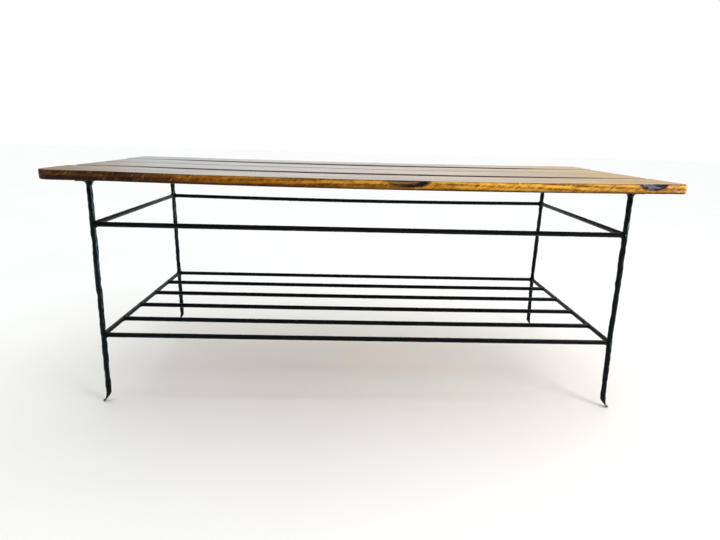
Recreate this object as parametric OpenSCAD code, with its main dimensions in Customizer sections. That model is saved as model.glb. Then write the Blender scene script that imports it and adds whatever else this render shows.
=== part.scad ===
// Entryway bench: four seat boards on a welded frame of round steel bar, with a rod shelf below.
// Millimetres. X runs along the bench, Y from front to rear, Z up. The origin is on the floor at the
// centre of the footprint.

/* [Seat] */
// Length of the seat boards
board_length = 1153; // [1033:5:1303]
// Width of one seat board
board_width = 115; // [105:1:130]
// Thickness of the seat boards
board_thickness = 18; // [16:1:25]
// Gap between neighbouring boards
board_gap = 2; // [1:0.5:4]
// Height of the seat surface above the floor
seat_height = 457; // [420:1:500]
// Rounding along a board's long and end edges
edge_radius = 4; // [3:0.5:7.5]
// Rounding of a board's corners, seen from above
corner_radius = 18; // [10:1:30]

/* [Frame] */
// Diameter of the leg bar
leg_d = 11; // [10:0.5:12]
// Diameter of the rail and shelf bar
rail_d = 9.5; // [8:0.5:9.5]
// Distance between leg centres along the bench, at the seat
leg_span_x = 981; // [901:2:1001]
// Distance between leg centres from front to rear, at the seat
leg_span_y = 404; // [370:2:406]
// How far a leg leans outwards along the bench, from seat to floor
splay_x = 9; // [0:1:20]
// How far a leg leans outwards to the front or rear, from seat to floor
splay_y = 13; // [0:1:20]
// Height of the upper rails' centre lines
upper_rail_z = 358; // [320:2:380]
// Height of the shelf's centre line
shelf_z = 142; // [100:2:200]

/* [Straps and screws] */
// How far the flat bar under the seat reaches past the leg centre, towards the bench's end
strap_outboard = 20; // [20:1:26]
// Thickness of the flat bar
strap_thickness = 3; // [2.5:0.5:5]
// How far the flat bar reaches past the leg centre, towards the bench's middle
strap_inboard = 12; // [12:1:16]
// How far a screw's thread goes into the board
screw_depth = 11; // [9:1:13]

/* [Toes] */
// Height of a leg's foot above the floor at which its inner side starts to curve outwards
toe_height = 18; // [16:0.5:22]
// Thickness of the forged tip
toe_tip = 3.4; // [3:0.2:4]

/* [Hidden] */
$fn = 48;

LEFT = -1;
RIGHT = 1;
FRONT = -1;
REAR = 1;
board_pitch = board_width + board_gap;
board_underside = seat_height - board_thickness;
strap_underside = board_underside - strap_thickness;
strap_weld = 5;                 // leg length of the fillet round a leg's top
strap_length = leg_span_y + 2 * (leg_d / 2 + strap_weld + 1);
strap_width = strap_outboard + strap_inboard;
strap_centre_x = (leg_span_x + strap_outboard - strap_inboard) / 2;
screw_offset_y = 30;            // each side of a board's centre line
screw_hole_r = 2.4;             // clearance hole in the strap, below its countersink
screw_core_r = 1.9;
pilot_r = 1.95;
screw_head_r = 4;
screw_head_h = screw_head_r - screw_core_r;
screw_gap = 0.5;                // between a screw's head and a leg's weld
screw_x = leg_span_x / 2 + leg_d / 2 + strap_weld + screw_gap + screw_head_r;
recess_depth = 1.3;             // of the cross in a screw's head
screw_point = 4;                // length of the tapered point
shelf_rods = 4;
weld_size = 2.6;                // leg length of a fillet between bars
weld_edge = 0.3;                // thickness of a hollow fillet's edge
weld_reach = 3;                 // how far a fillet wraps back round the bar it sits on
toe_start_angle = 28;           // slope of the foot's curved sole from upright, where it starts
toe_end_angle = 50;             // and where it meets the floor
toe_ground = 0.5;               // how much of the sole's end is ground off level
toe_arc_r = (toe_height + toe_ground) / (sin(toe_end_angle) - sin(toe_start_angle));
toe_width = leg_d - 0.4;
margin = 1;                     // how far a cutter runs past the face it cuts
far = 60;                       // longer than any part of a leg above its cut

wood = "#a8692a";
black_paint = "#17191b";
screw_steel = "#7d8084";

// Centre of a leg at height z. side is LEFT or RIGHT, face is FRONT or REAR.
function leg_point(side, face, z) =
  let (down = (board_underside - z) / board_underside)
  [side * (leg_span_x / 2 + splay_x * down), face * (leg_span_y / 2 + splay_y * down), z];

// Y of shelf rod i, counted from 1 at the front, evenly spaced between the two shelf rails.
function rod_y(i) =
  let (half = leg_point(RIGHT, REAR, shelf_z)[1])
  -half + 2 * half * i / (shelf_rods + 1);

// Y of a board's centre line, counted from 0 at the front.
function board_y(i) = (i - 1.5) * board_pitch;

function side_rail_x() = leg_point(RIGHT, REAR, shelf_z)[0];

// A round bar from p to q.
module bar(p, q, d) {
  v = q - p;
  length = norm(v);
  translate(p)
    rotate([0, acos(v[2] / length), atan2(v[1], v[0])])
      cylinder(h = length, d = d);
}

// A rectangle centred on the origin, with round corners.
module rounded_rectangle(size, r) {
  square([size[0] - 2 * r, size[1]], center = true);
  square([size[0], size[1] - 2 * r], center = true);
  for (x = [-1, 1], y = [-1, 1])
    translate([x * (size[0] / 2 - r), y * (size[1] / 2 - r)]) circle(r = r);
}

// The outer reach long strip of a slab's upright section, the slab's edge at x = reach, its edges
// round.
module edge_section(reach, thickness, edge_r) {
  intersection() {
    rounded_rectangle([2 * reach, thickness], edge_r);
    translate([0, -thickness / 2]) square([reach, thickness]);
  }
}

// A slab centred on the origin, its corners round seen from above and all its edges round. The
// middle, the two ends and the four corners meet face to face.
module eased_slab(size, corner_r, edge_r) {
  rotate([90, 0, 90])
    linear_extrude(height = size[0] - 2 * corner_r, center = true)
      rounded_rectangle([size[1], size[2]], edge_r);
  for (end = [0, 180])
    rotate([0, 0, end])
      translate([size[0] / 2 - corner_r, 0, 0]) {
        rotate([90, 0, 0])
          linear_extrude(height = size[1] - 2 * corner_r, center = true)
            edge_section(corner_r, size[2], edge_r);
        translate([0, size[1] / 2 - corner_r, 0])
          rotate_extrude(angle = 90) edge_section(corner_r, size[2], edge_r);
        translate([0, corner_r - size[1] / 2, 0])
          rotate([0, 0, -90])
            rotate_extrude(angle = 90) edge_section(corner_r, size[2], edge_r);
      }
}

// One seat board, with round corners and edges, and its blind pilot holes from below.
module seat_board(i) {
  color(wood)
    difference() {
      translate([0, board_y(i), board_underside + board_thickness / 2])
        eased_slab([board_length, board_width, board_thickness], corner_radius, edge_radius);
      for (side = [LEFT, RIGHT], row = [-1, 1])
        translate([side * screw_x, board_y(i) + row * screw_offset_y, board_underside - margin])
          cylinder(h = screw_depth + margin + 0.5, r = pilot_r);
    }
}

// Flat bar across the leg tops, drilled and countersunk for two screws in each board.
module strap(side) {
  color(black_paint)
    difference() {
      translate([side * strap_centre_x, 0, strap_underside])
        linear_extrude(height = strap_thickness)
          rounded_rectangle([strap_width, strap_length], 3);
      for (i = [0:3], row = [-1, 1])
        translate([side * screw_x, board_y(i) + row * screw_offset_y, strap_underside]) {
          translate([0, 0, -margin]) cylinder(h = strap_thickness + 2 * margin, r = screw_hole_r);
          cylinder(h = screw_head_r - screw_hole_r, r1 = screw_head_r, r2 = screw_hole_r);
        }
    }
}

// A countersunk wood screw, its head's face at z = 0 and its point up.
module screw() {
  shank = strap_thickness + screw_depth - screw_point;
  difference() {
    cylinder(h = screw_head_h, r1 = screw_head_r, r2 = screw_core_r);
    for (turn = [0, 90])
      rotate([0, 0, turn])
        translate([-2.2, -0.5, -margin]) cube([4.4, 1, margin + recess_depth]);
  }
  translate([0, 0, screw_head_h]) cylinder(h = shank - screw_head_h, r = screw_core_r);
  translate([0, 0, shank]) cylinder(h = screw_point, r1 = screw_core_r, r2 = 0.2);
}

module strap_screws(side) {
  color(screw_steel)
    for (i = [0:3], row = [-1, 1])
      translate([side * screw_x, board_y(i) + row * screw_offset_y, strap_underside])
        screw();
}

// A leg's bar, running on past the strap and the floor for use as a cutter.
module leg_bar(side, face) {
  bar(leg_point(side, face, -margin), leg_point(side, face, strap_underside + far), leg_d);
}

// Moves its children to a foot: X points outboard, and the origin is on the floor under the leg.
module at_foot(side, face) {
  translate(leg_point(side, face, 0)) mirror([side == LEFT ? 1 : 0, 0, 0]) children();
}

// A cylinder lying front to rear round the centre of the foot's curve.
module toe_arc(r, length) {
  centre_x = toe_arc_r * cos(toe_start_angle) - leg_d / 2;
  centre_z = toe_height + toe_arc_r * sin(toe_start_angle);
  translate([centre_x, 0, centre_z])
    rotate([90, 0, 0]) cylinder(h = length, r = r, center = true, $fn = 96);
}

// What the forging takes off the leg bar: all that lies under the curved sole.
module below_sole() {
  difference() {
    translate([-far / 2, -far / 2, -4 * margin]) cube([far, far, toe_height + 5 * margin]);
    toe_arc(toe_arc_r, 2 * far);
  }
}

// The thin tongue that runs out from under the leg along the sole's curve, and stands on the floor.
module toe() {
  tip_x = toe_arc_r * (cos(toe_start_angle) - cos(toe_end_angle)) - leg_d / 2 + toe_tip / 2;
  round_x = tip_x - toe_width / 2;
  intersection() {
    difference() {
      toe_arc(toe_arc_r, toe_width);
      toe_arc(toe_arc_r - toe_tip, 2 * far);
    }
    linear_extrude(height = toe_height) {
      translate([0, -toe_width / 2]) square([round_x, toe_width]);
      translate([round_x, 0]) circle(d = toe_width);
    }
  }
}

module leg(side, face) {
  color(black_paint) {
    difference() {
      leg_bar(side, face);
      translate(leg_point(side, face, strap_underside) - [far / 2, far / 2, 0])
        cube([far, far, 2 * far]);
      at_foot(side, face) below_sole();
    }
    at_foot(side, face) toe();
  }
}

// The uncut bar of a long rail, between leg centres.
module long_rail_bar(face, z) {
  bar(leg_point(LEFT, face, z), leg_point(RIGHT, face, z), rail_d);
}

// The uncut bar of a side rail, between leg centres.
module side_rail_bar(side, z) {
  bar(leg_point(side, FRONT, z), leg_point(side, REAR, z), rail_d);
}

// A rail along the bench at height z, its ends shaped to the legs and mitred to the side rails.
module long_rail(face, z) {
  color(black_paint)
    difference() {
      long_rail_bar(face, z);
      for (side = [LEFT, RIGHT]) {
        leg_bar(side, face);
        mitre_half(leg_point(side, face, z), [side, -face]);
      }
    }
}

// A rail from front to rear at height z, its ends shaped to the legs and mitred to the long rails.
module side_rail(side, z) {
  color(black_paint)
    difference() {
      side_rail_bar(side, z);
      for (face = [FRONT, REAR]) {
        leg_bar(side, face);
        mitre_half(leg_point(side, face, z), [-side, face]);
      }
    }
}

// A shelf rod's uncut bar, between the side rails' centre lines.
module shelf_rod_bar(i) {
  bar([-side_rail_x(), rod_y(i), shelf_z], [side_rail_x(), rod_y(i), shelf_z], rail_d);
}

module shelf_rod(i) {
  color(black_paint)
    difference() {
      shelf_rod_bar(i);
      for (side = [LEFT, RIGHT]) side_rail_bar(side, shelf_z);
    }
}

// The fillet of a weld where a bar of diameter d, heading from p towards q, leaves a bar of
// diameter into_d at p.
module weld_cone(p, q, d, into_d) {
  v = q - p;
  length = norm(v);
  translate(p)
    rotate([0, acos(v[2] / length), atan2(v[1], v[0])])
      translate([0, 0, into_d / 2 - weld_reach])
        cylinder(h = weld_reach + weld_size, r1 = d / 2 + weld_size, r2 = d / 2);
}

// Weld metal round each leg top under the strap, a hollow fillet.
module strap_welds() {
  color(black_paint)
    for (side = [LEFT, RIGHT], face = [FRONT, REAR])
      difference() {
        translate(leg_point(side, face, strap_underside) - [0, 0, strap_weld])
          rotate_extrude()
            difference() {
              translate([leg_d / 2 - margin, 0]) square([strap_weld + margin, strap_weld]);
              translate([leg_d / 2 + strap_weld, 0]) circle(r = strap_weld - weld_edge);
            }
        leg_bar(side, face);
      }
}

// The half of space on one side of the upright plane that halves the corner between two rails,
// out towards heading.
module mitre_half(corner, heading) {
  translate(corner)
    rotate([0, 0, atan2(heading[1], heading[0])])
      translate([0, -far / 2, -far / 2]) cube([far, far, far]);
}

// Weld metal where two rails meet each leg at height z. The two fillets are mitred together.
module rail_welds(z) {
  color(black_paint)
    for (side = [LEFT, RIGHT], face = [FRONT, REAR]) {
      corner = leg_point(side, face, z);
      along = leg_point(-side, face, z);
      across = leg_point(side, -face, z);
      difference() {
        intersection() {
          weld_cone(corner, along, rail_d, leg_d);
          mitre_half(corner, [-side, face]);
        }
        leg_bar(side, face);
        bar(corner, along, rail_d);
      }
      difference() {
        intersection() {
          weld_cone(corner, across, rail_d, leg_d);
          mitre_half(corner, [side, -face]);
        }
        leg_bar(side, face);
        bar(corner, across, rail_d);
      }
    }
}

// Weld metal where each shelf rod meets the side rails.
module shelf_rod_welds() {
  color(black_paint)
    for (side = [LEFT, RIGHT], i = [1:shelf_rods])
      difference() {
        weld_cone([side * side_rail_x(), rod_y(i), shelf_z], [0, rod_y(i), shelf_z], rail_d, rail_d);
        shelf_rod_bar(i);
        side_rail_bar(side, shelf_z);
      }
}

seat_board(0);  // front_board
seat_board(1);  // front_middle_board
seat_board(2);  // rear_middle_board
seat_board(3);  // rear_board
strap(LEFT);  // left_strap
strap(RIGHT);  // right_strap
strap_screws(LEFT);  // left_strap_screws
strap_screws(RIGHT);  // right_strap_screws
leg(LEFT, FRONT);  // front_left_leg
leg(RIGHT, FRONT);  // front_right_leg
leg(LEFT, REAR);  // rear_left_leg
leg(RIGHT, REAR);  // rear_right_leg
long_rail(FRONT, upper_rail_z);  // upper_front_rail
long_rail(REAR, upper_rail_z);  // upper_rear_rail
side_rail(LEFT, upper_rail_z);  // upper_left_rail
side_rail(RIGHT, upper_rail_z);  // upper_right_rail
long_rail(FRONT, shelf_z);  // shelf_front_rail
long_rail(REAR, shelf_z);  // shelf_rear_rail
side_rail(LEFT, shelf_z);  // shelf_left_rail
side_rail(RIGHT, shelf_z);  // shelf_right_rail
shelf_rod(1);  // shelf_rod_1
shelf_rod(2);  // shelf_rod_2
shelf_rod(3);  // shelf_rod_3
shelf_rod(4);  // shelf_rod_4
strap_welds();
rail_welds(upper_rail_z);  // upper_rail_welds
rail_welds(shelf_z);  // shelf_rail_welds
shelf_rod_welds();
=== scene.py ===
"""Entryway bench: four varnished boards on a hammered black steel frame. Metres, +Z up."""
import math

import bpy
from mathutils import Matrix, Vector, noise


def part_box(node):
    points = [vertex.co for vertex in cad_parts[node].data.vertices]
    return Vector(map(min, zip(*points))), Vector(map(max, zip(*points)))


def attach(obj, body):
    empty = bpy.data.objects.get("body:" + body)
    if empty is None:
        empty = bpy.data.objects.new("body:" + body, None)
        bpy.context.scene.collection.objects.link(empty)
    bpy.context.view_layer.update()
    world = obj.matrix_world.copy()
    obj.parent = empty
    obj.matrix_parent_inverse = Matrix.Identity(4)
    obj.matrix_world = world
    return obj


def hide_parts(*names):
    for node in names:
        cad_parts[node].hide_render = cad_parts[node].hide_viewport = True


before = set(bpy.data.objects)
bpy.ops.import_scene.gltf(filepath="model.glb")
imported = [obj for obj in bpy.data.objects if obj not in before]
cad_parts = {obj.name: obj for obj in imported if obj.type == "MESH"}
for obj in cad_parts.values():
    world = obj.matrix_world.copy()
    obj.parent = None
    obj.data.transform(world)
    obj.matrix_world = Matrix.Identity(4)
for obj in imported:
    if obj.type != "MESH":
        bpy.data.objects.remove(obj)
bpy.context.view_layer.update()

MM = 0.001
LEFT, RIGHT = -1, 1
FRONT, REAR = -1, 1
SIDE_NAMES = {LEFT: "left", RIGHT: "right"}
FACE_NAMES = {FRONT: "front", REAR: "rear"}
CORNERS = [(side, face) for side in (LEFT, RIGHT) for face in (FRONT, REAR)]
BOARDS = ["front_board", "front_middle_board", "rear_middle_board", "rear_board"]


# Measures taken from the frame

def middle(node):
    low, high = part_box(node)
    return (Vector(low) + Vector(high)) / 2


def leg_name(side, face):
    return FACE_NAMES[face] + "_" + SIDE_NAMES[side] + "_leg"


def leg_point(side, face, z):
    """Centre of a leg at height z, on the line through its two rail corners."""
    corners = []
    for level in ("upper", "shelf"):
        side_rail = middle(f"{level}_{SIDE_NAMES[side]}_rail")
        long_rail = middle(f"{level}_{FACE_NAMES[face]}_rail")
        corners.append(Vector((side_rail.x, long_rail.y, long_rail.z)))
    high, low = corners
    return low + (high - low) * ((z - low.z) / (high.z - low.z))


seat_low, seat_high = Vector(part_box("front_board")[0]), Vector(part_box("rear_board")[1])
seat_length = seat_high.x - seat_low.x
board_thickness = seat_high.z - seat_low.z
strap_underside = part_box("left_strap")[0][2]
upper_z = middle("upper_front_rail").z
shelf_z = middle("shelf_front_rail").z
rail_radius = (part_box("upper_front_rail")[1][2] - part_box("upper_front_rail")[0][2]) / 2
leg_radius = leg_point(RIGHT, FRONT, strap_underside).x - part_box("front_right_leg")[0][0]
toe_tip_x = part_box("front_right_leg")[1][0] - leg_point(RIGHT, FRONT, 0).x


# Shader graphs

class Nodes:
    """A node tree, with short calls for the nodes used here."""

    def __init__(self, tree):
        self.tree = tree

    def node(self, kind, values=(), **settings):
        made = self.tree.nodes.new(kind)
        for key, value in settings.items():
            setattr(made, key, value)
        for key, value in dict(values).items():
            self.put(made.inputs[key], value)
        return made

    def put(self, socket, value):
        if isinstance(value, bpy.types.NodeSocket):
            self.tree.links.new(value, socket)
        else:
            socket.default_value = value

    def math(self, operation, a, b=0.0, c=0.0):
        values = {0: a, 1: b, 2: c}
        return self.node("ShaderNodeMath", values, operation=operation).outputs[0]

    def times(self, a, b):
        return self.math("MULTIPLY", a, b)

    def minus(self, a, b):
        return self.math("SUBTRACT", a, b)

    def larger(self, a, b):
        return self.math("MAXIMUM", a, b)

    def noise(self, vector, detail=3.0, roughness=0.55, scale=1.0):
        values = {"Vector": vector, "Scale": scale, "Detail": detail, "Roughness": roughness}
        return self.node("ShaderNodeTexNoise", values).outputs[0]

    def fade(self, value, low, high, to_low=0.0, to_high=1.0):
        """Smooth step of value from low to high."""
        values = {0: value, 1: low, 2: high, 3: to_low, 4: to_high}
        return self.node("ShaderNodeMapRange", values, interpolation_type="SMOOTHSTEP").outputs[0]

    def linear(self, value, low, high, to_low=0.0, to_high=1.0):
        """Straight line over value from low to high."""
        values = {0: value, 1: low, 2: high, 3: to_low, 4: to_high}
        return self.node("ShaderNodeMapRange", values).outputs[0]

    def mix(self, amount, a, b, blend="MIX"):
        made = self.node("ShaderNodeMix", data_type="RGBA", blend_type=blend)
        for socket, value in zip((made.inputs[0], made.inputs[6], made.inputs[7]), (amount, a, b)):
            self.put(socket, (*value, 1) if isinstance(value, tuple) else value)
        return made.outputs[2]

    def tinted(self, colour, amount, tint_at_0, tint_at_1):
        """The colour multiplied by a tint that goes from one to the other with amount."""
        return self.mix(amount, self.mix(1.0, colour, tint_at_0, "MULTIPLY"),
                        self.mix(1.0, colour, tint_at_1, "MULTIPLY"))

    def ramp(self, value, stops):
        made = self.node("ShaderNodeValToRGB", {0: value})
        elements = made.color_ramp.elements
        while len(elements) < len(stops):
            elements.new(0.5)
        for element, (place, colour) in zip(elements, stops):
            element.position = place
            element.color = (*colour, 1)
        return made.outputs[0]

    def axes(self, vector):
        return self.node("ShaderNodeSeparateXYZ", {0: vector}).outputs


class Surface(Nodes):
    """A new material's node tree."""

    def __init__(self, name):
        self.material = bpy.data.materials.new(name)
        self.material.use_nodes = True
        super().__init__(self.material.node_tree)
        self.shader = self.tree.nodes["Principled BSDF"]
        self.position = self.node("ShaderNodeTexCoord").outputs["Object"]

    def normal(self):
        return self.axes(self.node("ShaderNodeNewGeometry").outputs["Normal"])

    def stretched(self, scale, vector=None, offset=(0, 0, 0), turn=(0, 0, 0)):
        values = {"Vector": vector or self.position, "Scale": scale, "Location": offset, "Rotation": turn}
        return self.node("ShaderNodeMapping", values).outputs[0]

    def bump(self, height, distance, under=None):
        values = {"Height": height, "Distance": distance, "Strength": 1.0}
        made = self.node("ShaderNodeBump", values)
        if under is not None:
            self.put(made.inputs["Normal"], under)
        return made.outputs[0]

    def set(self, **values):
        for key, value in values.items():
            self.put(self.shader.inputs[key.replace("_", " ")], value)


# Wood

SEED_STEP = 7.3           # keeps the boards' grain apart
TOOL_SLANT = math.radians(38)
# Each board's pith: how far it runs behind the board's middle line, and below its underside.
PITHS = [(-0.020, 0.055), (0.030, 0.030), (-0.035, 0.045), (0.015, 0.060)]
RING_BANDS = 260.0        # light and dark bands to a metre
RING_WANDER = 0.034       # how far the rings stray
# Marks on the front edge: places along the seat's length and above its underside.
SLIVER_AT = (seat_low.x + 0.567 * seat_length, seat_low.z + 1.00 * board_thickness)
SLIVER_HALF_SIZE = (0.043, 0.0145)
GREY_KNOT_AT = (seat_low.x + 0.944 * seat_length, seat_low.z + 0.98 * board_thickness)
GREY_KNOT_HALF_SIZE = (0.0285, 0.0125)
# Whether each board darkens toward the joint at its front and at its rear.
JOINTS = [(False, True), (True, False), (False, True), (True, False)]
JOINT_WIDTH = 7 * MM


class Wood(Surface):
    """A board's node tree, with the places and noises that its layers share."""

    def __init__(self, board, index):
        super().__init__(board + "_varnish")
        self.index = index
        self.low, self.high = (Vector(corner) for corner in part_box(board))
        self.x, self.y, self.z = self.axes(self.position)[:3]
        normal = self.normal()
        self.up, self.forward = normal[2], self.times(normal[1], -1.0)
        self.along = self.math("DIVIDE", self.minus(self.x, seat_low.x), seat_length)
        self.seed = seed = SEED_STEP * (index + 1)
        fibres = self.stretched((9, 420, 420), offset=(seed, 1, 0))
        self.fibre = self.noise(fibres, detail=4.0, roughness=0.65)
        pores = self.noise(self.stretched((38, 900, 900), offset=(0, seed, 0)), detail=2.0)
        self.pores = self.fade(pores, 0.60, 0.72)
        self.blotch = self.noise(self.stretched((5, 14, 14), offset=(0, 0, seed)), detail=3.0)
        self.streak = self.noise(self.stretched((2.2, 70, 70), offset=(seed, seed, 0)), detail=3.0)
        self.slant = self.stretched((1, 1, 1), turn=(0, TOOL_SLANT, 0))
        tool_marks = self.stretched((55, 300, 800), vector=self.slant)
        self.tool_marks = self.noise(tool_marks, detail=4.0, roughness=0.75)


def grain_pattern(wood):
    """Growth rings round a pith that runs under the board, with fibres and streaks over them."""
    wander = wood.noise(wood.stretched((1.7, 5.0, 5.0), offset=(wood.seed, 0, 0)), detail=2.0)
    pith_behind, pith_below = PITHS[wood.index]
    across = wood.minus(wood.y, (wood.low.y + wood.high.y) / 2 + pith_behind)
    above = wood.minus(wood.z, wood.low.z - pith_below)
    radius = wood.math("SQRT", wood.math("ADD", wood.times(across, across), wood.times(above, above)))
    warped = wood.math("MULTIPLY_ADD", wander, RING_WANDER, radius)
    rings = wood.fade(wood.math("PINGPONG", wood.times(warped, RING_BANDS), 1.0), 0.15, 0.95)
    grain = wood.math("MULTIPLY_ADD", wood.fibre, 0.45, wood.times(rings, 0.35))
    return wood.math("MULTIPLY_ADD", wood.streak, 0.35, grain)


def top_colour(wood, grain):
    """Brown and honey grain with blotches and open pores, darker at the left end: partly the stain, partly
    painted shade for light that falls off toward the left.
    """
    colour = wood.ramp(grain, [(0.22, (0.105, 0.043, 0.014)), (0.48, (0.265, 0.125, 0.034)),
                               (0.70, (0.410, 0.220, 0.065)), (0.92, (0.550, 0.340, 0.125))])
    # Painted shade: darker toward the left end and brighter toward the right, partly stain and partly
    # standing in for the light's fall-off.
    colour = wood.tinted(colour, wood.fade(wood.along, 0.05, 0.85), (0.80, 0.72, 0.64), (1.12, 1.10, 1.02))
    colour = wood.mix(wood.fade(wood.blotch, 0.35, 0.75, 0.0, 0.45), colour, (0.150, 0.075, 0.038))
    return wood.mix(wood.times(wood.pores, 0.55), colour, (0.075, 0.030, 0.014))


def inner_sides(wood):
    """1 on the sides that face another board, 0 elsewhere."""
    to_front = wood.fade(wood.forward, 0.12, 0.45) if wood.index > 0 else 0.0
    to_rear = wood.fade(wood.forward, -0.12, -0.45) if wood.index < len(BOARDS) - 1 else 0.0
    return wood.larger(to_front, to_rear)


def seat_rim(wood, inner):
    """1 on the seat's outer sides and ends, 0 elsewhere."""
    upright = wood.fade(wood.math("ABSOLUTE", wood.up), 0.985, 0.90)
    return wood.times(upright, wood.minus(1.0, inner))


def height_before_sag(wood):
    from_middle = wood.math("DIVIDE", wood.minus(wood.x, SAG_MIDDLE), SAG_REACH)
    share = wood.larger(wood.minus(1.0, wood.times(from_middle, from_middle)), 0.0)
    return wood.math("ADD", wood.z, wood.times(share, SAGS[wood.index]))


def rim_stain_and_shade(wood):
    """Stain from dark at the left to gold at the right, mottled. The dark left end and the gold right end are
    partly painted shade and painted light, for light that falls off toward the left.
    """
    place = wood.math("MULTIPLY_ADD", wood.minus(wood.blotch, 0.5), 0.12, wood.along)
    # Painted shade and light along the seat, over the stain: dark at the left end, bright gold toward the
    # right.
    stain_and_shade = wood.ramp(place, [
        (0.00, (0.072, 0.026, 0.005)), (0.16, (0.060, 0.019, 0.003)), (0.27, (0.27, 0.095, 0.004)),
        (0.50, (0.43, 0.188, 0.015)), (0.72, (0.62, 0.305, 0.031)), (1.00, (0.52, 0.260, 0.046))])
    mottle = wood.noise(wood.stretched((55, 130, 130), offset=(wood.seed, 0, 0)), detail=4.0, roughness=0.6)
    return wood.tinted(stain_and_shade, wood.fade(mottle, 0.38, 0.62), (0.70, 0.60, 0.50), (1.15, 1.20, 1.30))


def rim_colour(wood, grain, height):
    """The stained rim with slanting tool marks, glints, painted shade toward its lower edge, and pale
    scratches at its right end that are partly a painted highlight.
    """
    stain_and_shade = rim_stain_and_shade(wood)
    lines = wood.math("MULTIPLY_ADD", wood.tool_marks, 0.75, wood.times(grain, 0.45))
    colour = wood.tinted(stain_and_shade, wood.fade(lines, 0.50, 0.68), (0.34, 0.24, 0.12), (1.35, 1.42, 1.60))
    # Painted shade toward the rim's lower edge, heavier at the left end.
    lower_shade = wood.fade(height, wood.low.z + 0.62 * board_thickness, wood.low.z + 0.05 * board_thickness)
    lower_shade = wood.times(lower_shade, wood.fade(wood.along, 0.95, 0.20, 0.60, 0.97))
    colour = wood.mix(lower_shade, colour, wood.mix(1.0, stain_and_shade, (0.20, 0.13, 0.06), "MULTIPLY"))
    glints = wood.noise(wood.stretched((45, 300, 950), vector=wood.slant), detail=2.0, roughness=0.5)
    glints = wood.times(wood.fade(glints, 0.62, 0.72), wood.fade(wood.streak, 0.45, 0.60))
    colour = wood.mix(wood.times(glints, 0.7), colour, (0.70, 0.46, 0.16))
    # Pale marks at the right end: partly real scratches, partly a painted highlight.
    scratches_and_highlight = wood.stretched((70, 300, 500), vector=wood.slant, offset=(0, 0, wood.seed))
    scratches_and_highlight = wood.fade(wood.noise(scratches_and_highlight, detail=3.0), 0.50, 0.60)
    scratches_and_highlight = wood.times(scratches_and_highlight, wood.fade(wood.along, 0.962, 0.990))
    return wood.mix(wood.times(scratches_and_highlight, 0.75), colour, (0.78, 0.62, 0.42))


def dark_arris(wood, rim):
    """Darker along the rim's lower and upper arrises: painted shade on the lower one, which faces down away
    from the light, and a fainter darkening on the upper one.
    """
    upper = wood.times(wood.fade(wood.up, 0.45, 0.80), 0.55)
    return wood.times(wood.times(wood.larger(wood.fade(wood.up, -0.10, -0.75), upper), rim), 0.9)


def joint_shade(wood, inner):
    """1 in the joints between the boards, fainter toward the seat's ends."""
    joint = inner
    sides = ((wood.low.y, wood.low.y + JOINT_WIDTH), (wood.high.y, wood.high.y - JOINT_WIDTH))
    for has_joint, (side_y, inside_y) in zip(JOINTS[wood.index], sides):
        if has_joint:
            joint = wood.larger(joint, wood.fade(wood.y, inside_y, (side_y + inside_y) / 2))
    to_end = wood.math("MINIMUM", wood.along, wood.minus(1.0, wood.along))
    return wood.times(joint, wood.fade(to_end, 0.02, 0.20, 0.35, 1.0))


def ellipse(wood, height, centre, half_size):
    """1 at the middle of an ellipse on the front edge, falling to 0 at its outline."""
    along = wood.math("DIVIDE", wood.minus(wood.x, centre[0]), half_size[0])
    up = wood.math("DIVIDE", wood.minus(height, centre[1]), half_size[1])
    squares = wood.math("ADD", wood.times(along, along), wood.times(up, up))
    return wood.minus(1.0, wood.math("SQRT", squares))


def split_sliver(wood, height):
    """Where a sliver has split off the front edge, and the colour under it."""
    middle_x, middle_z = SLIVER_AT
    roughened = wood.times(wood.minus(wood.tool_marks, 0.5), 0.8)
    ragged = wood.math("ADD", roughened, ellipse(wood, height, SLIVER_AT, SLIVER_HALF_SIZE))
    place = wood.times(wood.fade(ragged, 0.00, 0.16), wood.fade(wood.forward, 0.1, 0.35))
    rightward = wood.fade(wood.x, middle_x - 22 * MM, middle_x + 4 * MM)
    crescent = wood.times(wood.fade(ragged, 0.75, 0.35), rightward)
    under_arris = wood.fade(height, middle_z - 4.5 * MM, middle_z - 2.5 * MM)
    crescent = wood.larger(crescent, wood.times(under_arris, 0.8))
    flesh = wood.ramp(wood.fibre, [(0.40, (0.030, 0.012, 0.006)), (0.55, (0.150, 0.062, 0.018)),
                                   (0.66, (0.42, 0.30, 0.16))])
    return place, wood.mix(crescent, flesh, (0.010, 0.005, 0.004))


def grey_knot(wood, height):
    """Where the grey knot lies near the right end of the front edge, and its colour."""
    middle_x, middle_z = GREY_KNOT_AT
    knot = ellipse(wood, height, GREY_KNOT_AT, GREY_KNOT_HALF_SIZE)
    roughened = wood.times(wood.minus(wood.tool_marks, 0.5), 0.9)
    place = wood.times(wood.fade(wood.math("ADD", roughened, knot), 0.02, 0.14),
                       wood.fade(wood.forward, 0.05, 0.3))
    cloud = wood.noise(wood.stretched((160, 300, 330)), detail=3.0, roughness=0.7)
    heart = wood.ramp(wood.math("ADD", knot, wood.math("MULTIPLY_ADD", cloud, 2.2, -1.15)), [
        (0.02, (0.035, 0.012, 0.010)), (0.22, (0.070, 0.034, 0.040)), (0.42, (0.115, 0.105, 0.160)),
        (0.62, (0.215, 0.225, 0.315)), (0.85, (0.028, 0.016, 0.026))])
    rightward = wood.fade(wood.x, middle_x - 4 * MM, middle_x + 6 * MM)
    above_it = wood.fade(height, middle_z - 6.2 * MM, middle_z - 4.2 * MM)
    lower_part = wood.fade(height, middle_z - 6 * MM, middle_z - 9 * MM)
    below_it = wood.times(wood.fade(knot, 0.48, 0.28), lower_part)
    shade = wood.times(wood.larger(above_it, below_it), rightward)
    return place, wood.mix(wood.times(shade, 0.9), heart, (0.016, 0.007, 0.018))


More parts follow.
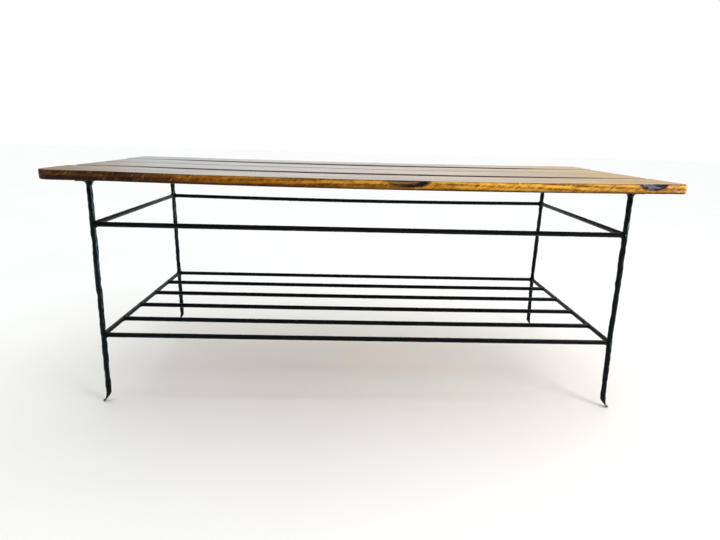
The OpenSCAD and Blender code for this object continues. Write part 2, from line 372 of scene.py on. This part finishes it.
def varnish_roughness(wood, rim):
    """Satin varnish, worn in patches, duller over pores and on the rim."""
    worn = wood.noise(wood.stretched((6, 22, 22), offset=(wood.seed, 0, wood.seed)), detail=4.0)
    rough = wood.fade(worn, 0.30, 0.75, 0.24, 0.38)
    rough = wood.math("MULTIPLY_ADD", wood.pores, 0.15, rough)
    return wood.math("MULTIPLY_ADD", rim, 0.22, rough)


def varnished_wood(board, index):
    """Brown-stained wood under a varnish whose gloss comes and goes in streaks."""
    wood = Wood(board, index)
    grain = grain_pattern(wood)
    inner = inner_sides(wood)
    rim = seat_rim(wood, inner)
    height = height_before_sag(wood)
    joint = joint_shade(wood, inner)
    colour = wood.mix(rim, top_colour(wood, grain), rim_colour(wood, grain, height))
    # Painted shade along the rim's lower arris, fainter along its upper arris.
    colour = wood.mix(dark_arris(wood, rim), colour, (0.030, 0.009, 0.002))
    colour = wood.mix(wood.times(joint, 0.92), colour, (0.085, 0.036, 0.052))
    dents = wood.times(wood.tool_marks, rim)
    if board == "front_board":
        split, split_colour = split_sliver(wood, height)
        colour = wood.mix(split, colour, split_colour)
        knot, knot_colour = grey_knot(wood, height)
        colour = wood.mix(knot, colour, knot_colour)
        dents = wood.minus(dents, wood.times(wood.larger(split, knot), 0.8))
    relief = wood.math("MULTIPLY_ADD", dents, 0.8, wood.times(wood.fibre, 0.35))
    relief = wood.minus(relief, wood.times(wood.pores, 0.5))
    coat = wood.fade(wood.streak, 0.36, 0.60, 0.62, 1.0)
    coat = wood.times(coat, wood.minus(1.0, wood.larger(rim, joint)))
    wood.set(Base_Color=colour, Roughness=varnish_roughness(wood, rim), IOR=1.2, Coat_Weight=coat,
             Coat_Roughness=0.20, Normal=wood.bump(relief, 0.25 * MM))
    return wood.material


# Metal

def hammered_paint():
    """Black paint over hammered bar: soft dents, fine orange peel, dust on top and small chips."""
    graph = Surface("black_hammered_paint")
    up = graph.normal()[2]
    dents = graph.node("ShaderNodeTexVoronoi", {"Vector": graph.position, "Scale": 95.0, "Smoothness": 0.8},
                       feature="SMOOTH_F1").outputs[0]
    peel = graph.noise(graph.position, detail=3.0, scale=900.0)
    broad = graph.noise(graph.position, detail=4.0, scale=28.0)
    chips = graph.noise(graph.position, detail=5.0, roughness=0.65, scale=150.0)
    chips = graph.times(graph.fade(chips, 0.71, 0.75), graph.fade(broad, 0.52, 0.62))
    dust = graph.times(graph.fade(up, 0.2, 1.0), graph.fade(broad, 0.35, 0.70, 0.15, 0.8))
    colour = graph.ramp(broad, [(0.3, (0.0010, 0.0012, 0.0014)), (0.7, (0.0028, 0.0034, 0.0038))])
    colour = graph.mix(graph.times(dust, 0.15), colour, (0.016, 0.020, 0.022))
    colour = graph.mix(graph.times(chips, 0.8), colour, (0.150, 0.125, 0.105))
    rough = graph.math("MULTIPLY_ADD", broad, 0.18, 0.16)
    rough = graph.math("MULTIPLY_ADD", dust, 0.12, rough)
    graph.set(Base_Color=colour, Roughness=rough, IOR=1.22, Specular_Tint=(0.62, 0.86, 1.0, 1.0),
              Normal=graph.bump(peel, 0.035 * MM, under=graph.bump(dents, 0.5 * MM)))
    return graph.material


def zinc_plate():
    """Bright zinc on the screws, brushed and slightly dulled."""
    graph = Surface("zinc_plated_screw")
    brushed = graph.noise(graph.stretched((400, 400, 4000)), detail=3.0)
    dull = graph.noise(graph.position, detail=3.0, scale=700.0)
    colour = graph.ramp(dull, [(0.35, (0.30, 0.30, 0.29)), (0.65, (0.56, 0.57, 0.58))])
    graph.set(Base_Color=colour, Roughness=graph.math("MULTIPLY_ADD", brushed, 0.30, 0.22), Metallic=1.0,
              Normal=graph.bump(brushed, 0.03 * MM))
    return graph.material


# Meshes

def mesh_piece(name, points, faces, material, node):
    """Makes a smooth closed mesh that stands for a CAD node."""
    mesh = bpy.data.meshes.new(name)
    mesh.from_pydata([tuple(p) for p in points], [], faces)
    mesh.shade_smooth()
    mesh.materials.append(material)
    piece = bpy.data.objects.new(name, mesh)
    bpy.context.scene.collection.objects.link(piece)
    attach(piece, "root")
    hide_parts(node)
    return piece


def skin(rings, closed_path=False, start=0):
    """Faces over a list of equal rings of points, capped at both ends unless the path is closed."""
    count, sides = len(rings), len(rings[0])
    faces = []
    for i in range(count if closed_path else count - 1):
        a, b = start + i * sides, start + (i + 1) % count * sides
        for j in range(sides):
            k = (j + 1) % sides
            faces.append((a + j, a + k, b + k, b + j))
    if not closed_path:
        faces.append(tuple(start + j for j in reversed(range(sides))))
        faces.append(tuple(start + (count - 1) * sides + j for j in range(sides)))
    return faces


def flat(rings):
    return [point for ring in rings for point in ring]


def wobble(*place):
    """Smooth noise between -1 and 1."""
    return noise.noise(Vector(place))


# Boards

EDGE_RADIUS = 4 * MM
SMALLEST_RADIUS = 0.15 * MM
# How far each board's top falls from its middle to its front and to its rear side.
CROWNS = [(1.0 * MM, 1.5 * MM), (0.1 * MM, 0.4 * MM), (0.4 * MM, 1.5 * MM), (0.1 * MM, 1.0 * MM)]
CROWN_REACH = 200 * MM    # the crowns grow from the boards' ends over this length
CROWN_AT_END = 0.2        # share of a crown that is left at the board's ends
END_RADIUS = 5.5 * MM     # rounding of the boards' ends, seen from the front
STATION = 4 * MM          # spacing of a board's sections
END_STEPS = 12            # sections in each round end
# How far each board's ends stop short of the seat's length, left and right, from front to rear.
END_TRIMS = [(4 * MM, 0), (12 * MM, 5 * MM), (12 * MM, 6 * MM), (6 * MM, 0)]
# Plan radii of each board's corners: front left, front right, rear left, rear right.
CORNER_RADII = [(32 * MM, 11 * MM, 10 * MM, 8 * MM), (10 * MM, 8 * MM, 10 * MM, 9 * MM),
                (10 * MM, 9 * MM, 10 * MM, 8 * MM), (10 * MM, 8 * MM, 24 * MM, 18 * MM)]
# How far each board has sagged, where along the seat it is lowest, and how far the sag goes from there.
SAGS = [3.9 * MM, 3.2 * MM, 3.0 * MM, 2.0 * MM]
SAG_MIDDLE, SAG_REACH = 0.05, 0.50
# Greatest depth of the hollows in a board's top, sides and ends.
TOP_HOLLOW = 0.35 * MM
SIDE_HOLLOW = 0.45 * MM
SIDE_NICK = 0.22 * MM
END_HOLLOW = 1.2 * MM
END_HOLLOW_REACH = 12 * MM
SIDE_SHARE = 0.15         # outer part of the half width that counts as a side


def section(half_width, half_height, radius, corner_steps=9, top_steps=24, side_steps=5):
    """Points round a rectangle with round corners, from the lower front corner and up."""
    points = []
    centres = [(-1, -1), (-1, 1), (1, 1), (1, -1)]
    straight = [side_steps, top_steps, side_steps, top_steps]
    for quarter, (cy, cz) in enumerate(centres):
        middle_y, middle_z = cy * (half_width - radius), cz * (half_height - radius)
        first = math.radians(270 - 90 * quarter)
        for step in range(corner_steps + 1):
            angle = first - math.radians(90) * step / corner_steps
            points.append((middle_y + radius * math.cos(angle), middle_z + radius * math.sin(angle)))
        next_y, next_z = centres[(quarter + 1) % 4]
        target_y, target_z = next_y * (half_width - radius), next_z * (half_height - radius)
        turn = first - math.radians(90)
        y0, z0 = points[-1]
        y1, z1 = target_y + radius * math.cos(turn), target_z + radius * math.sin(turn)
        for step in range(1, straight[quarter]):
            share = step / straight[quarter]
            points.append((y0 + (y1 - y0) * share, z0 + (z1 - z0) * share))
    return points


def rounding(distance, radius):
    """How much narrower a form with a round end is, distance in from its end."""
    if distance >= radius:
        return 0.0
    return radius - math.sqrt(radius ** 2 - (radius - distance) ** 2)


def board_stations(length, end_radius):
    """Distances along a board, close together at its round ends."""
    near = [end_radius * (1 - math.cos(math.pi / 2 * i / END_STEPS)) for i in range(END_STEPS + 1)]
    inner = length - 2 * end_radius
    count = round(inner / STATION)
    between = [end_radius + inner * i / count for i in range(1, count)]
    return near + between + [length - d for d in reversed(near)]


def sag(x, index):
    return SAGS[index] * max(0.0, 1 - ((x - SAG_MIDDLE) / SAG_REACH) ** 2)


def hollow(depth, *place):
    """Depth of an uneven face below its highest level, at most depth."""
    return depth * (0.5 + 0.5 * wobble(*place))


def top_hollow(index, x, v, share, grown):
    """How far a board's top lies below its highest level, v behind its middle line."""
    crown = CROWNS[index][v > 0] * grown * abs(share) ** 3
    return crown + hollow(TOP_HOLLOW, x * 7, v * 40, index)


def side_hollow(index, x, v, w, share):
    """How far a point near a board's side moves in: long waves and small nicks."""
    depth = hollow(SIDE_HOLLOW, x * 16, index * 5 + (v > 0) * 9, w * 30)
    depth += hollow(SIDE_NICK, x * 170, v * 60, w * 420 + index)
    return math.copysign(depth * max(0.0, (abs(share) - 1 + SIDE_SHARE) / SIDE_SHARE), v)


def end_hollow(index, v, w, nearest, at_left):
    """How far a point near a board's end moves in."""
    depth = hollow(END_HOLLOW, v * 45, w * 60, index * 3 + at_left)
    return depth * max(0.0, 1 - nearest / END_HOLLOW_REACH) * (1 if at_left else -1)


def board_ring(index, low, high, from_left, from_right):
    """A board's section, at these distances from its two ends."""
    half_width, half_height = (high.y - low.y) / 2, (high.z - low.z) / 2
    centre_y, centre_z = (low.y + high.y) / 2, (low.z + high.z) / 2
    front_left, front_right, rear_left, rear_right = CORNER_RADII[index]
    off_front = rounding(from_left, front_left) + rounding(from_right, front_right)
    off_rear = rounding(from_left, rear_left) + rounding(from_right, rear_right)
    nearest, at_left = min(from_left, from_right), from_left < from_right
    grown = CROWN_AT_END + (1 - CROWN_AT_END) * min(1.0, nearest / CROWN_REACH)
    radius = max(math.sqrt(EDGE_RADIUS ** 2 - max(0, EDGE_RADIUS - nearest) ** 2), SMALLEST_RADIUS)
    width, height = half_width - (off_front + off_rear) / 2, half_height - rounding(nearest, END_RADIUS)
    x = low.x + END_TRIMS[index][0] + from_left
    ring = []
    for v, w in section(width, height, radius):
        v += (off_front - off_rear) / 2
        share, upward = v / half_width, max(0.0, w / half_height)
        drop = sag(x, index) + top_hollow(index, x, v, share, grown) * upward
        y = centre_y + v - side_hollow(index, x, v, w, share)
        ring.append(Vector((x + end_hollow(index, v, w, nearest, at_left), y, centre_z + w - drop)))
    return ring


def board_piece(index):
    """A plank with round corners and ends, crowned and sagged, its faces slightly uneven."""
    node = BOARDS[index]
    low, high = (Vector(corner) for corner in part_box(node))
    left_trim, right_trim = END_TRIMS[index]
    length = high.x - right_trim - (low.x + left_trim)
    stations = board_stations(length, max(CORNER_RADII[index]))
    rings = [board_ring(index, low, high, place, length - place) for place in stations]
    return mesh_piece(node + "_plank", flat(rings), skin(rings), varnished_wood(node, index), node)


# Bars

BAR_SIDES = 24
RING_STEP = 3 * MM
RAIL_DENT = 0.17 * MM
# How far the long bars hang down in their middle.
RAIL_BOW = 0.3 * MM
ROD_BOW = 1.2 * MM
UPPER_REAR_BOW = 3.6 * MM
ROD_NUMBERS = range(1, 5)    # from the front


def frame_across(heading):
    """Two directions square to heading."""
    reference = Vector((0, 0, 1)) if abs(heading.z) < 0.9 else Vector((0, 1, 0))
    first = heading.cross(reference).normalized()
    return first, heading.cross(first).normalized()


def hammer_mark(angle, distance, seed):
    """Depth from 0 to 1 of the hammer's marks on a bar, lengthwise hollows at irregular places."""
    swell = wobble(distance * 42, seed * 3.1 + 0.8 * math.cos(angle), 0.8 * math.sin(angle))
    facet = wobble(distance * 95, seed + 1.5 * math.cos(angle), 1.5 * math.sin(angle))
    return min(1.0, max(0.0, 0.5 + 0.60 * swell + 0.85 * facet))


def bar_rings(start, end, radius, seed, depth, bow=0.0):
    """Sections of a bar dented up to depth, which hangs down by bow in its middle."""
    heading = (end - start).normalized()
    length = (end - start).length
    first, second = frame_across(heading)
    count = max(2, round(length / RING_STEP))
    rings = []
    for i in range(count + 1):
        distance = length * i / count
        centre = start + heading * distance - Vector((0, 0, bow * math.sin(math.pi * i / count)))
        ring = []
        for j in range(BAR_SIDES):
            angle = 2 * math.pi * j / BAR_SIDES
            reach = radius - depth * hammer_mark(angle, distance, seed)
            ring.append(centre + first * (reach * math.cos(angle)) + second * (reach * math.sin(angle)))
        rings.append(ring)
    return rings


def rail_piece(node, start, end, seed, paint, bow=0.0):
    rings = bar_rings(start, end, rail_radius, seed, RAIL_DENT, bow)
    return mesh_piece(node + "_bar", flat(rings), skin(rings), paint, node)


TOE_START = 18 * MM       # height at which a foot starts to narrow
TOE_THICKNESS = 3 * MM
SOLE_TURN = (8 * MM, 5 * MM)    # where the sole's curve turns: outboard of the leg's inner side, and up
INSTEP_RISE = 1.3 * TOE_THICKNESS
FOOT_STEPS = 26
POINT_FROM, POINT_REACH = 0.72, 0.30    # where a foot comes to its point, as shares of its length
FOOT_WAIST = 0.08         # how much narrower a foot is halfway along
SMOOTH_TOE_FROM = 0.9     # past this share of a foot there are no dents
MARK_SHIFT = 0.02         # how far the hammer marks run on over a foot
LEG_DENT = 1.4 * MM
# How far a leg is bent outboard at its foot, below the shelf.
LEG_BENDS = {(RIGHT, FRONT): 3.5 * MM, (RIGHT, REAR): 4 * MM}


def bezier(p0, p1, p2, t):
    return p0 * (1 - t) ** 2 + p1 * (2 * t * (1 - t)) + p2 * t ** 2


def foot_sides(side, face, knee):
    """Curves of a foot's inner and outer side, seen from the front, from the knee to the toe."""
    foot, outboard, upward = leg_point(side, face, 0), Vector((side, 0, 0)), Vector((0, 0, 1))
    turn_out, turn_up = SOLE_TURN
    tip = foot + outboard * toe_tip_x
    inner = [knee - outboard * leg_radius, foot - outboard * (leg_radius - turn_out) + upward * turn_up, tip]
    outer = [knee + outboard * leg_radius, foot + outboard * leg_radius + upward * INSTEP_RISE,
             tip + upward * TOE_THICKNESS]
    return inner, outer


def foot_ring(t, inner, outer, side, heading, leg_length, seed):
    """Section of a foot, t of the way from its knee to its toe."""
    outboard, across = Vector((side, 0, 0)), Vector((0, 1, 0))
    first, second = frame_across(heading)
    inside, outside = bezier(*inner, t), bezier(*outer, t)
    centre, half = (inside + outside) / 2, (outside - inside) / 2
    narrowing = math.sqrt(1 - max(0.0, (t - POINT_FROM) / POINT_REACH) ** 2)
    width = leg_radius * (1 - FOOT_WAIST * math.sin(math.pi * t)) * narrowing
    ring = []
    for j in range(BAR_SIDES):
        angle = 2 * math.pi * j / BAR_SIDES
        spread = first * math.cos(angle) + second * math.sin(angle)
        u, v = spread.dot(outboard), spread.dot(across)
        square = 1 + t * abs(u) ** 2 * abs(v) ** 2
        dent = 1 - LEG_DENT / leg_radius * hammer_mark(angle, leg_length + t * MARK_SHIFT, seed)
        spread_out = (half * u + across * (width * v)) * square
        ring.append(centre + spread_out * (dent if t < SMOOTH_TOE_FROM else 1))
    return ring


def bend_outboard(rings, side, bend):
    """Moves a leg outboard below the shelf, by bend at the ground, and keeps it above the ground."""
    for ring in rings:
        for point in ring:
            point.z = max(point.z, 0.0)
            point.x += side * bend * max(0.0, (shelf_z - point.z) / shelf_z)


def leg_piece(side, face, paint):
    """A hammered leg with its foot drawn out into a thin toe that curls outboard."""
    node = leg_name(side, face)
    seed = 11 + 5 * side + 2 * face
    top = leg_point(side, face, strap_underside)
    knee = leg_point(side, face, TOE_START)
    heading, length = (knee - top).normalized(), (knee - top).length
    rings = bar_rings(top, knee, leg_radius, seed, LEG_DENT)
    inner, outer = foot_sides(side, face, knee)
    for i in range(1, FOOT_STEPS + 1):
        rings.append(foot_ring(i / FOOT_STEPS, inner, outer, side, heading, length, seed))
    bend_outboard(rings, side, LEG_BENDS.get((side, face), 0.0))
    return mesh_piece(node + "_forged", flat(rings), skin(rings), paint, node)


# Welds

BEAD_STEPS = 64
BEAD_SIDES = 10
RAIL_BEAD = 1.7 * MM
ROD_BEAD = 1.2 * MM
FILLET_SIZE = 7.0 * MM
FILLET_STEPS = 8
FILLET_ROOT = 1.5 * MM    # how deep a fillet's hidden side lies in the leg
FILLET_BITE = 0.6 * MM    # how deep it lies in the strap
FILLET_INSET = 0.3 * MM   # how far its face starts inside the leg's surface
FILLET_CLEAR = 0.15 * MM  # how far its face stays below the strap


def bead_rings(corner, heading, upright, bar_radius, into_radius, size, seed):
    """A rippled weld bead round the line where a bar leaves corner, out of a thicker bar."""
    heading = heading.normalized()
    along = (upright - heading * upright.dot(heading)).normalized()
    cross = heading.cross(along)
    rings = []
    for i in range(BEAD_STEPS):
        angle = 2 * math.pi * i / BEAD_STEPS
        radial = along * math.cos(angle) + cross * math.sin(angle)
        reach = math.sqrt(max(into_radius ** 2 - (bar_radius * math.sin(angle)) ** 2, 0.0))
        centre = corner + heading * reach + radial * bar_radius
        lump = wobble(2 * math.cos(angle), 2 * math.sin(angle), seed)
        ripple = size * (1 + 0.10 * math.sin(15 * angle + seed) + 0.25 * lump)
        ring = []
        for j in range(BEAD_SIDES):
            turn = 2 * math.pi * j / BEAD_SIDES
            ring.append(centre + (radial * math.cos(turn) + heading * math.sin(turn)) * ripple)
        rings.append(ring)
    return rings


def fillet_rings(top, seed):
    """A hollow fillet of weld metal from a leg's top out under the strap."""
    rings = []
    for i in range(BEAD_STEPS):
        angle = 2 * math.pi * i / BEAD_STEPS
        radial, upward = Vector((math.cos(angle), math.sin(angle), 0)), Vector((0, 0, 1))
        reach = FILLET_SIZE * (1 + 0.10 * wobble(3 * math.cos(angle), 3 * math.sin(angle), seed)
                               + 0.035 * math.sin(14 * angle + seed))
        root = top + radial * (leg_radius - FILLET_ROOT)
        ring = [root + upward * FILLET_BITE, root - upward * reach]
        for step in range(FILLET_STEPS + 1):
            turn = math.pi / 2 * step / FILLET_STEPS
            out = leg_radius - FILLET_INSET + reach * (1 - math.cos(turn))
            down = reach * (1 - math.sin(turn)) + FILLET_CLEAR
            ring.append(top + radial * out - upward * down)
        ring.append(top + radial * (leg_radius + reach) + upward * FILLET_BITE)
        rings.append(ring)
    return rings


def weld_piece(node, loops, paint):
    """All the beads of a weld node as one mesh."""
    points, faces = [], []
    for rings in loops:
        faces += skin(rings, closed_path=True, start=len(points))
        points += flat(rings)
    return mesh_piece(node + "_beads", points, faces, paint, node)


def rail_weld_loops(z):
    """Beads where the two rails at height z leave each leg."""
    loops = []
    for side, face in CORNERS:
        corner = leg_point(side, face, z)
        upright = leg_point(side, face, z + 1) - corner
        for target in (leg_point(-side, face, z), leg_point(side, -face, z)):
            loops.append(bead_rings(corner, target - corner, upright, rail_radius, leg_radius, RAIL_BEAD,
                                    len(loops) * 1.7))
    return loops


# The object

def rail_ring(level, z, paint):
    """The four rails that tie the legs together at height z."""
    rails = []
    for face, name in FACE_NAMES.items():
        bow = UPPER_REAR_BOW if level == "upper" and face == REAR else RAIL_BOW
        rails.append(rail_piece(f"{level}_{name}_rail", leg_point(LEFT, face, z), leg_point(RIGHT, face, z),
                                z * 40 + face, paint, bow=bow))
    for side, name in SIDE_NAMES.items():
        rails.append(rail_piece(f"{level}_{name}_rail", leg_point(side, FRONT, z), leg_point(side, REAR, z),
                                z * 60 + side, paint))
    return rails


def rod_end(number, side):
    side_rail = middle(f"shelf_{SIDE_NAMES[side]}_rail")
    return Vector((side_rail.x, middle(f"shelf_rod_{number}").y, shelf_z))


def rod_piece(number, paint):
    return rail_piece(f"shelf_rod_{number}", rod_end(number, LEFT), rod_end(number, RIGHT), number * 7.7,
                      paint, bow=ROD_BOW)


def rod_weld(number, side):
    """The bead where a shelf rod meets the side rail on this side."""
    end, other_end = rod_end(number, side), rod_end(number, -side)
    return bead_rings(end, other_end - end, Vector((0, 1, 0)), rail_radius, rail_radius, ROD_BEAD,
                      number + side)


paint = hammered_paint()
zinc = zinc_plate()
for index in range(len(BOARDS)):
    board_piece(index)
legs = [leg_piece(side, face, paint) for side, face in CORNERS]
rails = rail_ring("upper", upper_z, paint) + rail_ring("shelf", shelf_z, paint)
rods = [rod_piece(number, paint) for number in ROD_NUMBERS]

weld_piece("upper_rail_welds", rail_weld_loops(upper_z), paint)
weld_piece("shelf_rail_welds", rail_weld_loops(shelf_z), paint)
weld_piece("shelf_rod_welds", [rod_weld(number, side) for number in ROD_NUMBERS for side in (LEFT, RIGHT)],
           paint)
weld_piece("strap_welds", [fillet_rings(leg_point(side, face, strap_underside), side * 3 + face)
                           for side, face in CORNERS], paint)

for name in SIDE_NAMES.values():
    for node, material in ((f"{name}_strap", paint), (f"{name}_strap_screws", zinc)):
        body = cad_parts[node]
        body.data.materials.clear()
        body.data.materials.append(material)


# The studio

FLOOR_HALF_SIZE = 12.0


def studio_floor():
    graph = Surface("studio_floor")
    cloud = graph.noise(graph.position, detail=3.0, scale=3.0)
    graph.set(Base_Color=graph.ramp(cloud, [(0.3, (0.90, 0.90, 0.905)), (0.7, (0.92, 0.92, 0.925))]),
              Roughness=0.9, Specular_IOR_Level=0.0)
    corners = [(x * FLOOR_HALF_SIZE, y * FLOOR_HALF_SIZE, 0) for x, y in ((-1, -1), (1, -1), (1, 1), (-1, 1))]
    mesh = bpy.data.meshes.new("floor")
    mesh.from_pydata(corners, [], [(0, 1, 2, 3)])
    mesh.materials.append(graph.material)
    floor = bpy.data.objects.new("floor", mesh)
    bpy.context.scene.collection.objects.link(floor)


def soft_light(name, place, target, size, power, colour, on_matt=True, on_gloss=True, only=()):
    """An area light on matt or glossy surfaces or both; with only, it lights those objects alone."""
    data = bpy.data.lights.new(name, "AREA")
    data.shape = "RECTANGLE"
    data.size, data.size_y = size
    data.energy = power
    data.color = colour
    light = bpy.data.objects.new(name, data)
    bpy.context.scene.collection.objects.link(light)
    light.visible_camera = False
    light.visible_diffuse = on_matt
    light.visible_glossy = on_gloss
    if only:
        lit = bpy.data.collections.new(name + "_lit")
        for piece in only:
            lit.objects.link(piece)
        light.light_linking.receiver_collection = lit
    light.location = place
    light.rotation_euler = (Vector(target) - Vector(place)).to_track_quat("-Z", "Y").to_euler()


def overhead_sun(strength, spread):
    """Even, nearly shadowless light from above; spread is its width in degrees."""
    data = bpy.data.lights.new("overhead", "SUN")
    data.energy = strength
    data.angle = math.radians(spread)
    light = bpy.data.objects.new("overhead", data)
    bpy.context.scene.collection.objects.link(light)
    light.rotation_euler = (math.radians(-12), math.radians(8), 0)


def studio_lights(legs, bars):
    overhead_sun(strength=2.2, spread=110)
    soft_light("front_right", place=(1.5, -1.3, 1.0), target=(0.2, -0.2, 0.42), size=(0.7, 0.9),
               power=20, colour=(1.0, 0.90, 0.76), on_gloss=False)
    soft_light("right_side", place=(3.4, -0.15, 0.35), target=(-0.4, 0.0, 0.10), size=(2.0, 0.8),
               power=60, colour=(1.0, 0.86, 0.72), on_matt=False)
    soft_light("under_seat", place=(0.12, -0.20, 0.23), target=(-0.60, -0.20, 0.20), size=(0.5, 0.40),
               power=9, colour=(0.62, 0.82, 0.88), on_matt=False, only=legs)
    soft_light("upper_right", place=(1.7, -0.3, 2.0), target=(0.4, 0.0, 0.2), size=(1.2, 1.2),
               power=45, colour=(0.80, 0.90, 1.0), on_matt=False, only=bars)


# The room's colours behind the bench, from the left to the right.
ROOM_COLOURS = [(0.17, (0.42, 0.39, 0.34)), (0.25, (0.70, 0.83, 0.87)), (0.35, (0.78, 0.89, 0.92)),
                (0.50, (0.82, 0.90, 0.92)), (0.66, (0.86, 0.88, 0.83)), (0.76, (0.77, 0.74, 0.585)),
                (0.84, (0.78, 0.65, 0.41))]
ROOM_FRONT_COLOUR = (0.72, 0.82, 0.85)
BACKDROP = (1, 1, 1, 1)


def studio_world():
    """A pale room, brightest behind the bench: dim, then cool on its left, and warm on its right.

    The camera sees a white backdrop in its place.
    """
    world = bpy.data.worlds.new("studio")
    bpy.context.scene.world = world
    world.use_nodes = True
    room = Nodes(world.node_tree)
    rightward, behind, _ = room.axes(room.node("ShaderNodeTexCoord").outputs["Generated"])
    colour = room.ramp(room.linear(rightward, -0.75, 0.75), ROOM_COLOURS)
    colour = room.mix(room.linear(behind, 0.0, 0.5), ROOM_FRONT_COLOUR, colour)
    lit = room.tree.nodes["Background"]
    room.put(lit.inputs["Color"], colour)
    room.put(lit.inputs["Strength"], room.linear(behind, -0.4, 0.7, 0.20, 1.0))
    seen = room.node("ShaderNodeBackground", {"Color": BACKDROP})
    is_camera = room.node("ShaderNodeLightPath").outputs["Is Camera Ray"]
    choice = room.node("ShaderNodeMixShader", {0: is_camera, 1: lit.outputs[0], 2: seen.outputs[0]})
    room.put(room.tree.nodes["World Output"].inputs["Surface"], choice.outputs[0])


# The camera's place, its turns in radians, and its sensor and lens in millimetres.
CAMERA_AT = Vector((-0.0242, -1.0693, 0.5308))
CAMERA_YAW, CAMERA_PITCH, CAMERA_ROLL = 0.02483, -0.28166, 0.02592
SENSOR = 36.0
LENS = 23.77


def studio_camera():
    data = bpy.data.cameras.new("camera")
    data.sensor_fit = "HORIZONTAL"
    data.sensor_width = SENSOR
    data.lens = LENS
    camera = bpy.data.objects.new("camera", data)
    bpy.context.scene.collection.objects.link(camera)
    ahead = Vector((math.sin(CAMERA_YAW) * math.cos(CAMERA_PITCH),
                    math.cos(CAMERA_YAW) * math.cos(CAMERA_PITCH), math.sin(CAMERA_PITCH)))
    level = Vector((math.cos(CAMERA_YAW), -math.sin(CAMERA_YAW), 0))
    upward = level.cross(ahead)
    across = math.cos(CAMERA_ROLL) * level + math.sin(CAMERA_ROLL) * upward
    over = math.cos(CAMERA_ROLL) * upward - math.sin(CAMERA_ROLL) * level
    pose = Matrix((across, over, -ahead)).transposed().to_4x4()
    pose.translation = CAMERA_AT
    camera.matrix_world = pose
    bpy.context.scene.camera = camera


studio_floor()
studio_world()
studio_camera()
bpy.context.scene.view_settings.view_transform = "Standard"
studio_lights(legs, legs + rails + rods)
